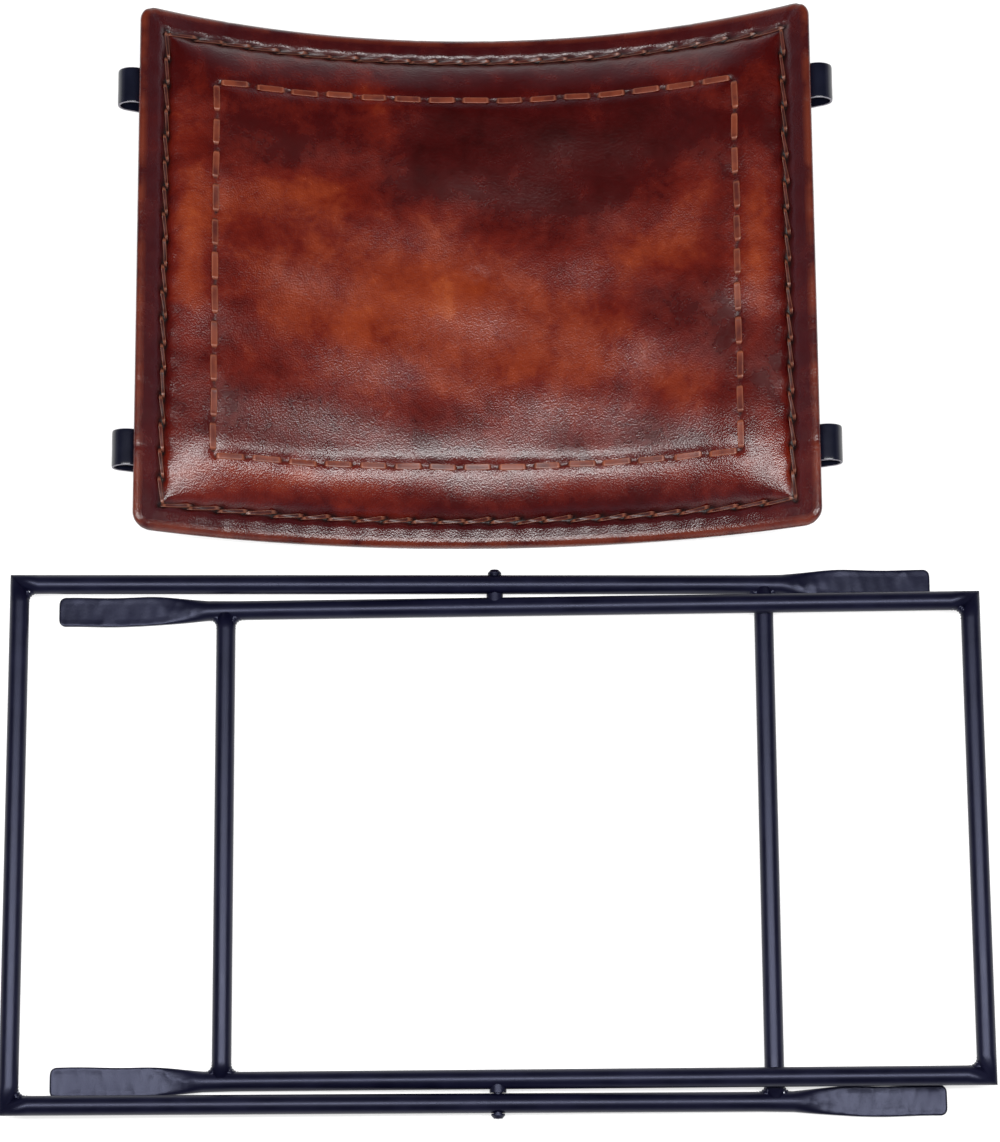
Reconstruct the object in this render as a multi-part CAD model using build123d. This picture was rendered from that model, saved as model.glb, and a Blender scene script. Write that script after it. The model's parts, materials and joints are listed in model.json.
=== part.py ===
from build123d import *
import math
import os

# Leather folding stool, knocked down: the padded leather seat lies behind its folded iron frame.
# Millimetres. X runs along the seat's width, +Y to the back, +Z up from the floor.
# The origin is at the middle of the footprint, on the floor.

# Frame, round iron bar
ROD_DIAMETER = 13.0
FOOT_REACH = 321.0            # pivot to the middle of a foot bar
CROSS_REACH = 183.0           # pivot to the middle of a cross bar
TIP_REACH = 297.0             # pivot to the tip of a flat end
OUTER_HALF_SPAN = 174.0       # middle to the outer frame's rails
RAIL_GAP = 2.5                # free space between the rails of the two frames
FOLD_CLEARANCE = 0.5          # between the outer cross bar and the inner rails, folded
CUT_OVERRUN = 2.0

# Hammered flat ends
FLAT_WIDTH = 20.0
FLAT_THICKNESS = 5.0
FLAT_START = 12.0             # from the cross bar's middle to where the hammering starts
FLAT_SPREAD = 45.0            # length over which the bar spreads to its full width
FLAT_EDGE_RADIUS = 2.2
TIP_CORNER_RADIUS = 4.0
BAR_SECTION_RADIUS = 6.3      # corner radius of the section where the hammering starts
FLAT_POSITION_SHARES = (0.0, 0.2, 0.45, 0.75, 1.0)
FLAT_WIDTH_SHARES = (0.0, 0.22, 0.62, 0.92, 1.0)
FLAT_THINNING_SHARES = (0.0, 0.45, 0.8, 0.96, 1.0)

# Pivots
PIN_RADIUS = 3.0
PIN_RUNNING_CLEARANCE = 0.05
PIN_END_COVER = 2.5           # iron left over the pin's blind end in the inner rail
COLLAR_RADIUS = 5.6
COLLAR_BORE_CLEARANCE = 0.2
FACE_CLEARANCE = 0.3
HEAD_RADIUS = 4.6
HEAD_HEIGHT = 3.6
HEAD_RIM_HEIGHT = 1.2
HEAD_SHOULDER_SHARES = (0.62, 0.9)   # of the head's radius and height

# Weld beads
BEAD_LEG = 5.0
BEAD_HEIGHT = 6.0

# Seat
SEAT_WIDTH = 457.0
SEAT_DEPTH = 368.0
SEAT_SAG = 75.0               # middle of the front rim below its corners
SEAT_GAP = 16.0               # between the frame and the seat as they lie
SEAT_SHIFT = -11.0            # the seat's middle, left of the pivots
RIM_WIDTH = 7.0               # rolled edge
SEAT_CORNER_RADIUS = 11.0     # in plan
BORDER_WIDTH = 18.0           # rim to the outer lacing
BORDER_DROOP = 4.0            # how far the border bends down
EDGE_THICKNESS = 8.5
PAD_CROWN = 17.0              # pillow above the border's level
PAD_RISE = 46.0               # from the lacing to the full crown
PANEL_INSET = 34.0            # outer lacing to inner lacing
CHANNEL_DEPTH = 1.2           # sewn channel under the inner lacing
CHANNEL_HALF_WIDTH = 5.0
LEATHER_THICKNESS = 2.0
LAYER_GAP = 0.05              # glue line between layers
BOARD_THICKNESS = 3.0
BOARD_INSET = 4.0             # board's edge inside the outer lacing
RIM_ROUND_SHARES = (0.45, 0.8, 1.0, 1.0)
RIM_PLACE_SHARES = (0.0, 0.2, 0.5, 1.0)
REST_CUT = 0.5                # the drooped rims are flat this deep where they rest

# Lacing thongs
THONG_WIDTH = 3.4
THONG_THICKNESS = 1.1
THONG_LIFT = 0.15
OUTER_STITCH_PITCH = 18.4
OUTER_STITCH_LENGTH = 15.0
INNER_STITCH_PITCH = 23.5
INNER_STITCH_LENGTH = 18.3

# Strap loops under the seat
LOOP_WIDTH = 25.0
LOOP_THICKNESS = 2.0
LOOP_HEIGHT = 20.0
LOOP_LENGTH = 50.0
LOOP_REACH = 13.0             # past the seat's rim
LOOP_INSET = 57.0             # rim to a loop's middle, along the seat's depth
LOOP_TILT = 30.0              # degrees
LOOP_CLEARANCE = 0.1
RIVET_END_DEPTH = 0.5         # rivet's end below the backing's upper face
RIVET_RADIUS = 2.0
RIVET_HEAD_RADIUS = 4.5
RIVET_HEAD_HEIGHT = 1.4

ROD = ROD_DIAMETER / 2
INNER_HALF_SPAN = OUTER_HALF_SPAN - ROD_DIAMETER - RAIL_GAP
FOLD_TILT = math.degrees(math.asin((ROD_DIAMETER + FOLD_CLEARANCE) / (2 * CROSS_REACH)))
TILT_SINE = math.sin(math.radians(FOLD_TILT))
TILT_COSINE = math.cos(math.radians(FOLD_TILT))
FLAT_ROOT = CROSS_REACH + FLAT_START
PIVOT_HEIGHT = max(
    FLAT_ROOT * TILT_SINE + ROD * TILT_COSINE,
    TIP_REACH * TILT_SINE + FLAT_THICKNESS / 2 * TILT_COSINE,
)
FRAME_FRONT = OUTER_HALF_SPAN + ROD + FACE_CLEARANCE + HEAD_HEIGHT
SEAT_FRONT = FRAME_FRONT + SEAT_GAP
FRAME_MIDDLE_Y = (FRAME_FRONT - SEAT_FRONT - SEAT_DEPTH) / 2
SEAT_MIDDLE_Y = FRAME_MIDDLE_Y + SEAT_FRONT + SEAT_DEPTH / 2

parts = {}


def along_y(radius, low, high):
    """Round bar on the Y axis from low to high."""
    return Plane((0, low, 0), x_dir=(1, 0, 0), z_dir=(0, 1, 0)) * extrude(Circle(radius), high - low)


def along_x(radius, low, high):
    """Round bar on the X axis from low to high."""
    return Plane((low, 0, 0), x_dir=(0, 1, 0), z_dir=(1, 0, 0)) * extrude(Circle(radius), high - low)


def plan_block(points):
    """Upright block over a plan outline, taller than the bar."""
    outline = Polyline(*points, close=True)
    reach = ROD + CUT_OVERRUN
    return Pos(0, 0, -reach) * extrude(make_face(outline), 2 * reach)


def flat_end():
    """Hammered end on the X axis: rounded sections that widen and thin from the bar to the tip."""
    sections = []
    places = list(zip(FLAT_POSITION_SHARES, FLAT_WIDTH_SHARES, FLAT_THINNING_SHARES))
    for place, spread, thinning in places:
        width = ROD_DIAMETER + spread * (FLAT_WIDTH - ROD_DIAMETER)
        thick = ROD_DIAMETER - thinning * (ROD_DIAMETER - FLAT_THICKNESS)
        corner = BAR_SECTION_RADIUS + thinning * (FLAT_EDGE_RADIUS - BAR_SECTION_RADIUS)
        plane = Plane((FLAT_ROOT + place * FLAT_SPREAD, 0, 0), x_dir=(0, 1, 0), z_dir=(1, 0, 0))
        sections.append(plane * RectangleRounded(width, thick, corner))
    spread_part = loft(sections, ruled=True)
    plate_start = FLAT_ROOT + FLAT_SPREAD
    plate_length = TIP_REACH - plate_start
    plane = Plane((plate_start, 0, 0), x_dir=(0, 1, 0), z_dir=(1, 0, 0))
    plate = plane * extrude(RectangleRounded(FLAT_WIDTH, FLAT_THICKNESS, FLAT_EDGE_RADIUS), plate_length)
    corner = TIP_CORNER_RADIUS + CUT_OVERRUN / 2
    outline = RectangleRounded(2 * plate_length, FLAT_WIDTH + CUT_OVERRUN, corner)
    mask = Pos(plate_start, 0, -FLAT_THICKNESS) * extrude(outline, 2 * FLAT_THICKNESS)
    return spread_part + (plate & mask)


def rail(half_span, side):
    """Side rail with a mitred foot end and a hammered tip; side is +1 at the back."""
    reach = ROD + CUT_OVERRUN
    bar = along_x(ROD, -FOOT_REACH - reach, FLAT_ROOT) + flat_end()
    mask = plan_block([
        (-FOOT_REACH - reach, side * reach),
        (TIP_REACH + reach, side * (reach + FLAT_WIDTH)),
        (TIP_REACH + reach, -side * (reach + FLAT_WIDTH)),
        (-FOOT_REACH + reach, -side * reach),
    ])
    return Pos(0, side * half_span, 0) * (bar & mask)


def foot_bar(half_span):
    """Foot bar along Y with both ends mitred to the rails."""
    reach = ROD + CUT_OVERRUN
    bar = Pos(-FOOT_REACH, 0, 0) * along_y(ROD, -half_span - reach, half_span + reach)
    mask = plan_block([
        (-FOOT_REACH - reach, half_span + reach),
        (-FOOT_REACH + reach, half_span - reach),
        (-FOOT_REACH + reach, -half_span + reach),
        (-FOOT_REACH - reach, -half_span - reach),
    ])
    return bar & mask


def rail_core(half_span, side):
    """Plain bar where a rail runs, for coping what meets it."""
    return Pos(0, side * half_span, 0) * along_x(ROD, -FOOT_REACH - ROD, FLAT_ROOT)


def cross_bar(half_span):
    """Cross bar along Y, coped to the rails."""
    bar = Pos(CROSS_REACH, 0, 0) * along_y(ROD, -half_span, half_span)
    for side in (-1, 1):
        bar = bar - rail_core(half_span, side)
    return bar


def bead(corner_x, corner_y, turn_x, turn_y):
    """Concave weld bead in the plan corner at corner_x, corner_y, opening towards turn_x, turn_y."""
    block = Box(BEAD_LEG + ROD, BEAD_LEG + ROD, BEAD_HEIGHT)
    hollow = Cylinder(BEAD_LEG, BEAD_HEIGHT + CUT_OVERRUN)
    middle = (BEAD_LEG - ROD) / 2
    piece = Pos(turn_x * middle, turn_y * middle, 0) * block
    piece = piece - Pos(turn_x * BEAD_LEG, turn_y * BEAD_LEG, 0) * hollow
    return Pos(corner_x, corner_y, 0) * piece


def weld_beads(half_span):
    """Beads in the mitred corners and on both sides of the cross bar's ends."""
    beads = []
    bars = [rail_core(half_span, side) for side in (-1, 1)]
    bars.append(Pos(-FOOT_REACH, 0, 0) * along_y(ROD, -half_span - ROD, half_span + ROD))
    bars.append(Pos(CROSS_REACH, 0, 0) * along_y(ROD, -half_span, half_span))
    for side in (-1, 1):
        inner = side * (half_span - ROD)
        beads.append(bead(-FOOT_REACH + ROD, inner, 1, -side))
        beads.append(bead(CROSS_REACH - ROD, inner, -1, -side))
        beads.append(bead(CROSS_REACH + ROD, inner, 1, -side))
    solids = []
    for piece in beads:
        for bar in bars:
            piece = piece - bar
        solids.extend(piece.solids())
    return solids


def pivot_pin(side):
    """Pin held in the inner rail, with a peened head outside the outer rail."""
    start = INNER_HALF_SPAN - ROD + PIN_END_COVER
    head_seat = OUTER_HALF_SPAN + ROD + FACE_CLEARANCE
    shank = along_y(PIN_RADIUS, start, head_seat)
    profile = make_face(Polyline(
        (0, 0),
        (HEAD_RADIUS, 0),
        (HEAD_RADIUS, HEAD_RIM_HEIGHT),
        (HEAD_RADIUS * HEAD_SHOULDER_SHARES[0], HEAD_HEIGHT * HEAD_SHOULDER_SHARES[1]),
        (0, HEAD_HEIGHT),
        close=True,
    ))
    head = Pos(0, head_seat, 0) * revolve(profile, Axis.Y)
    pin = shank + head
    return pin if side > 0 else mirror(pin, Plane.XZ)


def pivot_collar(side):
    """Spacer on the inner rail that keeps the two rails apart."""
    face = OUTER_HALF_SPAN - ROD - FACE_CLEARANCE
    collar = along_y(COLLAR_RADIUS, INNER_HALF_SPAN, face)
    collar = collar - along_y(PIN_RADIUS + COLLAR_BORE_CLEARANCE, INNER_HALF_SPAN, face)
    collar = collar - rail_core(INNER_HALF_SPAN, 1)
    return collar if side > 0 else mirror(collar, Plane.XZ)


def lay_outer(shape):
    """Outer frame: foot to the left and raised, flat ends to the right on the floor."""
    return Pos(0, FRAME_MIDDLE_Y, PIVOT_HEIGHT) * Rot(0, FOLD_TILT, 0) * shape


def lay_inner(shape):
    """Inner frame: turned half round in plan, foot to the right and raised."""
    return Pos(0, FRAME_MIDDLE_Y, PIVOT_HEIGHT) * Rot(0, -FOLD_TILT, 0) * Rot(0, 0, 180) * shape


def frames():
    """Both frames, their beads, pins and collars."""
    bore_end = OUTER_HALF_SPAN + ROD_DIAMETER
    bore = along_y(PIN_RADIUS + PIN_RUNNING_CLEARANCE, -bore_end, bore_end)
    pins = {side: pivot_pin(side) for side in (-1, 1)}
    for side, place in ((1, "back"), (-1, "front")):
        parts[f"outer_rail_{place}"] = lay_outer(rail(OUTER_HALF_SPAN, side) - bore)
        parts[f"inner_rail_{place}"] = lay_inner(rail(INNER_HALF_SPAN, -side) - pins[-side])
        parts[f"pivot_pin_{place}"] = lay_inner(pins[-side])
        parts[f"pivot_collar_{place}"] = lay_inner(pivot_collar(-side))
    parts["outer_foot_bar"] = lay_outer(foot_bar(OUTER_HALF_SPAN))
    parts["inner_foot_bar"] = lay_inner(foot_bar(INNER_HALF_SPAN))
    parts["outer_cross_bar"] = lay_outer(cross_bar(OUTER_HALF_SPAN))
    parts["inner_cross_bar"] = lay_inner(cross_bar(INNER_HALF_SPAN))
    parts["outer_weld_beads"] = Compound(children=[lay_outer(b) for b in weld_beads(OUTER_HALF_SPAN)])
    parts["inner_weld_beads"] = Compound(children=[lay_inner(b) for b in weld_beads(INNER_HALF_SPAN)])


HALF_WIDTH = SEAT_WIDTH / 2
HALF_DEPTH = SEAT_DEPTH / 2
SAG_RADIUS = (HALF_WIDTH ** 2 + SEAT_SAG ** 2) / (2 * SEAT_SAG)
RIM_LOW_POINTS = [
    EDGE_THICKNESS / 2 * (1 - fullness) - BORDER_DROOP * (1 - place * RIM_WIDTH / BORDER_WIDTH)
    for place, fullness in zip(RIM_PLACE_SHARES, RIM_ROUND_SHARES)
]
SEAT_BASE = -REST_CUT - min(RIM_LOW_POINTS)


def rise(inside):
    """Pillow's rise, 0 at the lacing and 1 past PAD_RISE, as a quarter of a parabola."""
    share = min(max(inside / PAD_RISE, 0), 1)
    return 1 - (1 - share) ** 2


def under(x, y):
    """Underside of the seat: an arc across the width, with the border bent down all round."""
    arc = SAG_RADIUS - math.sqrt(SAG_RADIUS ** 2 - x ** 2)
    beyond = max(abs(x) - HALF_WIDTH, abs(y) - HALF_DEPTH) + BORDER_WIDTH
    droop = BORDER_DROOP * max(beyond, 0) / BORDER_WIDTH
    return SEAT_BASE + arc - droop


def channel(inside_x, inside_y):
    """Sewn channel: a cosine dip along the rectangle of the inner lacing."""
    off_line = abs(min(inside_x, inside_y) - PANEL_INSET)
    if off_line >= CHANNEL_HALF_WIDTH:
        return 0
    return CHANNEL_DEPTH * (1 + math.cos(math.pi * off_line / CHANNEL_HALF_WIDTH)) / 2


def over(x, y):
    """Top of the seat: the underside plus the edge's thickness, the pillow's crown and the channel."""
    inside_x = HALF_WIDTH - BORDER_WIDTH - abs(x)
    inside_y = HALF_DEPTH - BORDER_WIDTH - abs(y)
    pillow = PAD_CROWN * rise(inside_x) * rise(inside_y)
    return under(x, y) + EDGE_THICKNESS + pillow - channel(inside_x, inside_y)


def stations(half, edge):
    """Places across one direction: the edge, the lacing, the channel and the crown, mirrored."""
    lacing = half - BORDER_WIDTH
    line = lacing - PANEL_INSET
    marks = [
        edge,
        (edge + lacing) / 2,
        lacing,
        lacing - PAD_RISE / 8,
        lacing - PAD_RISE / 4,
        lacing - PAD_RISE / 2,
        line + CHANNEL_HALF_WIDTH,
        line,
        line - CHANNEL_HALF_WIDTH,
        lacing - PAD_RISE,
        line * 2 / 3,
        line / 3,
    ]
    marks = sorted({round(mark, 4) for mark in marks if mark <= edge}, reverse=True)
    return [-mark for mark in marks] + [0] + marks[::-1]


def body_between(xs, ys, lower, upper):
    """Solid between two height functions: splines across X, ruled from one Y to the next."""
    sections = []
    for y in ys:
        top = Spline(*[(x, y, upper(x, y)) for x in xs])
        bottom = Spline(*[(x, y, lower(x, y)) for x in xs])
        left = Line(bottom @ 0, top @ 0)
        right = Line(bottom @ 1, top @ 1)
        sections.append(make_face(Wire([bottom, right, top, left])))
    return loft(sections, ruled=True)


def lay_seat(shape):
    """The seat lies behind the frame with its hollow side up."""
    return Pos(SEAT_SHIFT, SEAT_MIDDLE_Y, 0) * shape


def rest_flat(shape):
    """Cuts the seat's layers to its rounded plan, and flat where the drooped rims rest on the floor."""
    plan = RectangleRounded(SEAT_WIDTH, SEAT_DEPTH, SEAT_CORNER_RADIUS)
    return shape & extrude(plan, SEAT_WIDTH)


def rim_strip(across_x, sign):
    """Rolled edge along one side: full thickness inside, rounded off at the rim."""
    outer = HALF_WIDTH if across_x else HALF_DEPTH
    marks = [sign * (outer - share * RIM_WIDTH) for share in RIM_PLACE_SHARES]
    rounds = dict(zip([round(mark, 4) for mark in marks], RIM_ROUND_SHARES))

    def thickness(x, y):
        share = rounds[round(x if across_x else y, 4)]
        return EDGE_THICKNESS * share / 2

    def lower(x, y):
        return under(x, y) + EDGE_THICKNESS / 2 - thickness(x, y)

    def upper(x, y):
        return under(x, y) + EDGE_THICKNESS / 2 + thickness(x, y)

    marks.sort()
    if across_x:
        corner = HALF_DEPTH - RIM_WIDTH
        sections = []
        for y in (-HALF_DEPTH, -corner, corner, HALF_DEPTH):
            points = [(x, y, lower(x, y)) for x in marks]
            points += [(x, y, upper(x, y)) for x in reversed(marks)]
            sections.append(make_face(Polyline(*points, close=True)))
        return loft(sections, ruled=True)
    xs = stations(HALF_WIDTH, HALF_WIDTH - RIM_WIDTH - LAYER_GAP)
    return body_between(xs, marks, lower, upper)


def seat_layers():
    """Cover, padding, board, backing and rolled edges."""
    edge_x = HALF_WIDTH - RIM_WIDTH - LAYER_GAP
    edge_y = HALF_DEPTH - RIM_WIDTH - LAYER_GAP
    xs = stations(HALF_WIDTH, edge_x)
    ys = stations(HALF_DEPTH, edge_y)
    board_x = HALF_WIDTH - BORDER_WIDTH - BOARD_INSET
    board_y = HALF_DEPTH - BORDER_WIDTH - BOARD_INSET

    def backing_top(x, y):
        return under(x, y) + LEATHER_THICKNESS

    def pad_under(x, y):
        return backing_top(x, y) + LAYER_GAP

    def board_top(x, y):
        return pad_under(x, y) + BOARD_THICKNESS

    def pad_floor(x, y):
        return board_top(x, y) + LAYER_GAP

    def cover_under(x, y):
        return over(x, y) - LEATHER_THICKNESS

    def pad_top(x, y):
        return cover_under(x, y) - LAYER_GAP

    backing = body_between(xs, ys, under, backing_top)
    for rivet in rivet_posts():
        backing = backing - rivet
    board_ys = [-board_y, board_y]
    board_plan = Box(2 * board_x, 2 * board_y, 2 * SEAT_WIDTH)
    board = body_between(xs, board_ys, pad_under, board_top) & board_plan
    padding = body_between(xs, ys, pad_under, pad_top)
    padding = padding - (body_between(xs, board_ys, under, pad_floor) & board_plan)
    cover = body_between(xs, ys, cover_under, over)
    parts["seat_cover"] = lay_seat(rest_flat(cover))
    parts["seat_padding"] = lay_seat(rest_flat(padding))
    parts["seat_board"] = lay_seat(board)
    parts["seat_backing"] = lay_seat(rest_flat(backing))
    for name, across_x, sign in (
        ("rim_left", True, -1),
        ("rim_right", True, 1),
        ("rim_front", False, -1),
        ("rim_back", False, 1),
    ):
        parts[name] = lay_seat(rest_flat(rim_strip(across_x, sign)))


def thong(x, y, along_x_size, along_y_size):
    """One stitch of flat thong, tilted with the seat's top and clear of it all over."""
    half_x = along_x_size / 2
    half_y = along_y_size / 2
    slope_x = (over(x + half_x, y) - over(x - half_x, y)) / along_x_size
    slope_y = (over(x, y + half_y) - over(x, y - half_y)) / along_y_size
    heights = []
    for share_x in (-1, -0.5, 0, 0.5, 1):
        for share_y in (-1, -0.5, 0, 0.5, 1):
            dx = share_x * half_x
            dy = share_y * half_y
            heights.append(over(x + dx, y + dy) - slope_x * dx - slope_y * dy)
    plane = Plane((x, y, max(heights) + THONG_LIFT), x_dir=(1, 0, slope_x), z_dir=(-slope_x, -slope_y, 1))
    return plane * Pos(0, 0, THONG_THICKNESS / 2) * Box(along_x_size, along_y_size, THONG_THICKNESS)


def lacing(inset, pitch, length):
    """Stitches round the rectangle that lies inset from the rim."""
    line_x = HALF_WIDTH - inset
    line_y = HALF_DEPTH - inset
    stitches = []
    count_x = int((2 * line_x - length) / pitch)
    count_y = int((2 * line_y - length) / pitch)
    for step in range(count_x + 1):
        x = (step - count_x / 2) * (2 * line_x - length) / count_x
        for y in (-line_y, line_y):
            stitches.append(lay_seat(thong(x, y, length, THONG_WIDTH)))
    for step in range(count_y + 1):
        y = (step - count_y / 2) * (2 * line_y - length - 2 * THONG_WIDTH) / count_y
        for x in (-line_x, line_x):
            stitches.append(lay_seat(thong(x, y, THONG_WIDTH, length)))
    return Compound(children=stitches)


LOOP_MIDDLE_X = HALF_WIDTH + LOOP_REACH - LOOP_LENGTH / 2
LOOP_COSINE = math.cos(math.radians(LOOP_TILT))
LOOP_SLOPE = math.tan(math.radians(LOOP_TILT))
RIVET_X = LOOP_MIDDLE_X - LOOP_LENGTH / 4 * LOOP_COSINE


def loop_top_height():
    """Height of the loop's upper face over its middle, just under the rim and the backing."""
    inner_x = HALF_WIDTH + LOOP_REACH - LOOP_LENGTH
    limits = []
    for x in (inner_x, HALF_WIDTH - BORDER_WIDTH, HALF_WIDTH):
        limits.append(under(x, 0) + LOOP_SLOPE * (LOOP_MIDDLE_X - x))
    return min(limits) - LOOP_CLEARANCE


def place_loop(shape, side, y):
    """Tilt a shape in the loop's own frame and bring it under the seat's edge."""
    placed = Pos(LOOP_MIDDLE_X, y, loop_top_height()) * Rot(0, -LOOP_TILT, 0) * shape
    return placed if side > 0 else mirror(placed, Plane.YZ)


def strap_loop():
    """Flattened ring of strap with its upper face at height 0 and its bore along Y."""
    outer = SlotOverall(LOOP_LENGTH, LOOP_HEIGHT)
    inner = SlotOverall(LOOP_LENGTH - 2 * LOOP_THICKNESS, LOOP_HEIGHT - 2 * LOOP_THICKNESS)
    band = extrude(outer - inner, LOOP_WIDTH / 2, both=True)
    return Pos(0, 0, -LOOP_HEIGHT / 2) * Rot(90, 0, 0) * band


def rivet_post():
    """Rivet that holds the strap to the backing: a head inside the loop and a post up."""
    head = Pos(0, 0, -LOOP_THICKNESS - RIVET_HEAD_HEIGHT / 2) * Cylinder(RIVET_HEAD_RADIUS, RIVET_HEAD_HEIGHT)
    gap = under(RIVET_X, 0) - loop_top_height() - LOOP_SLOPE * (RIVET_X - LOOP_MIDDLE_X)
    seat_angle = math.asin(RIVET_X / SAG_RADIUS)
    lean = seat_angle - math.radians(LOOP_TILT)
    top = (gap + LEATHER_THICKNESS) * math.cos(seat_angle) / math.cos(lean)
    top = top - RIVET_RADIUS * abs(math.tan(lean)) - RIVET_END_DEPTH
    post = Pos(0, 0, (top - LOOP_THICKNESS) / 2) * Cylinder(RIVET_RADIUS, top + LOOP_THICKNESS)
    return Pos(-LOOP_LENGTH / 4, 0, 0) * (head + post)


def loop_places():
    """Name, side and Y of each loop."""
    places = []
    for side, across in ((-1, "left"), (1, "right")):
        for row, along in ((-1, "front"), (1, "back")):
            places.append((f"{along}_{across}", side, row * (HALF_DEPTH - LOOP_INSET)))
    return places


def rivet_posts():
    """All four rivets where they sit."""
    return [place_loop(rivet_post(), side, y) for name, side, y in loop_places()]


def loops():
    """Strap loops with a rivet each; each rivet ends under the seat's board."""
    for (name, side, y), post in zip(loop_places(), rivet_posts()):
        band = place_loop(strap_loop(), side, y) - post
        parts[f"strap_loop_{name}"] = lay_seat(band)
        parts[f"loop_rivet_{name}"] = lay_seat(post)


frames()
seat_layers()
parts["outer_lacing"] = lacing(BORDER_WIDTH, OUTER_STITCH_PITCH, OUTER_STITCH_LENGTH)
parts["inner_lacing"] = lacing(BORDER_WIDTH + PANEL_INSET, INNER_STITCH_PITCH, INNER_STITCH_LENGTH)
loops()

os.makedirs("parts", exist_ok=True)
for name, shape in parts.items():
    export_step(shape, f"parts/{name}.step")
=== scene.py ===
import json
import math

import bmesh
import bpy
import numpy as np
from mathutils import Matrix, Vector


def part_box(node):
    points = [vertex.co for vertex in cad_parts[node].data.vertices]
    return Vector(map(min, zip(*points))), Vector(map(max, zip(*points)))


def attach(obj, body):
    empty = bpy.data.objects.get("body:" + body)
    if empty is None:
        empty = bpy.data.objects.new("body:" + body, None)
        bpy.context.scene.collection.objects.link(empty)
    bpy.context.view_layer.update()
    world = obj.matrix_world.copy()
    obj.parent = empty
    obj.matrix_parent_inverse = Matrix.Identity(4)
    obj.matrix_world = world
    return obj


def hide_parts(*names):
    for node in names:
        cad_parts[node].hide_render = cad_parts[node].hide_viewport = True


# Leather folding stool, knocked down: a padded, laced leather seat behind its hammered iron frame.
# Metres, in the model's own frame: X along the seat's width, +Y to the back, +Z up.
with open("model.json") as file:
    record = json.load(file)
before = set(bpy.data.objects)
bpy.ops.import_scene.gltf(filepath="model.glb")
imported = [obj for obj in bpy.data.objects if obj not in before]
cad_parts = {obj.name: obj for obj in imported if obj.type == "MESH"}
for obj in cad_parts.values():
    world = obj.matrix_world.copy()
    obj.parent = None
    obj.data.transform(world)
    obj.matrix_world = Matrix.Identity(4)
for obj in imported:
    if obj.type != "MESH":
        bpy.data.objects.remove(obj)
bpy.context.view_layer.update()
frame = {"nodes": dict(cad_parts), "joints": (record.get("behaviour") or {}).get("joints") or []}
MM = 0.001
MERGE_DISTANCE = 2e-7

# Iron frame
ROD = 6.5 * MM                 # bar's radius
FOOT_REACH = 321 * MM          # pivot to the middle of a foot bar
CROSS_REACH = 183 * MM         # pivot to the middle of a cross bar
TIP_REACH = 297 * MM           # pivot to the tip of a flat end
OUTER_HALF_SPAN = 174 * MM
INNER_HALF_SPAN = 158.5 * MM
FOLD_CLEARANCE = 0.5 * MM
FOLD_TILT = math.asin((2 * ROD + FOLD_CLEARANCE) / (2 * CROSS_REACH))
FLAT_START = 12 * MM
FLAT_ROOT = CROSS_REACH + FLAT_START
FLAT_SPREAD = 45 * MM
SPREAD_LEAD = 6 * MM           # the bar starts to widen this far before the root
THINNING_LEAD = 8 * MM
THINNING_SHARE = 0.75          # of the spread's length, where the plate is thin at last
FLAT_WIDTH = 20 * MM
FLAT_THICKNESS = 5 * MM
TIP_CORNER = 4.5 * MM
HAMMER_DEPTH = 1.0 * MM
HAMMER_SIZE = 7.5 * MM
HAMMER_SHAKE = 0.9 * MM        # how far a mark strays from its row
HAMMER_START = 4 * MM          # from the root to the first marks
HAMMER_FADE = 14 * MM          # from the root to their full depth
WANDER = 0.35 * MM             # a flat end's edges stray this far, as forged iron does
WANDER_RATE = 95               # radians to the metre
BEAD_LEG = 5 * MM
BEAD_HALF_WIDTH = 3.6 * MM
BEAD_HALF_HEIGHT = 4.3 * MM
BEAD_RIPPLE = 0.22 * MM        # slow ripples along a bead
BEAD_LUMPS = 0.12 * MM         # quick ones round and along it
BEAD_OVERRUN = 0.18            # radians that a bead's ends run into the bars
BUTT_SHARE = 0.35              # of the bar's radius, by which a butt end stops short of the rail's middle
pivot = np.array(next(joint["pos_m"] for joint in frame["joints"] if joint["name"] == "fold"))

# Seat
seat_low = np.array(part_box("rim_left")[0])
seat_high = np.array(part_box("rim_right")[1])
SEAT_X = (seat_low[0] + seat_high[0]) / 2
SEAT_Y = (seat_low[1] + seat_high[1]) / 2
HALF_WIDTH = (seat_high[0] - seat_low[0]) / 2
HALF_DEPTH = (seat_high[1] - seat_low[1]) / 2
BACKING_THICKNESS = 2.05 * MM  # with its gap under the board
SEAT_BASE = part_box("seat_board")[0].z - BACKING_THICKNESS
SEAT_SAG = 75 * MM
SAG_RADIUS = (HALF_WIDTH ** 2 + SEAT_SAG ** 2) / (2 * SEAT_SAG)
CORNER_RADIUS = 11 * MM
EDGE_THICKNESS = 8.5 * MM
FOLD_WIDTH = 6.5 * MM          # turned-over edge of the border
FOLD_SLOPE = 1.2 * MM
FOLD_STEP = 0.7 * MM
BORDER_WIDTH = 18 * MM
BORDER_DROOP = 4 * MM
BORDER_BEND = 1.5 * MM         # softness of the bend where the droop starts
VALLEY_DEPTH = 3.0 * MM        # seam valley under the outer lacing
VALLEY_WIDTH = 3.2 * MM
PAD_CROWN = 17 * MM
PAD_RISE = 46 * MM             # from the outer lacing to the full crown
PANEL_INSET = 34 * MM          # outer lacing to inner lacing
PANEL_CROWN = 2.4 * MM         # the laced panel's own swelling, over the pillow's
PANEL_RISE = 48 * MM
CHANNEL_DEPTH = 1.2 * MM
CHANNEL_WIDTH = 4.2 * MM
CHANNEL_OUTER_SHARE = 0.3      # of the channel's depth, on the side of the border
CHANNEL_TURN = 2 * MM
STUFFING_HEIGHT = 0.42 * MM
STUFFING_FADE = 30 * MM
BACKING_INSET = 15 * MM
BACKING_RECESS = 1.8 * MM
RECESS_ROUND = 1 * MM
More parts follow.
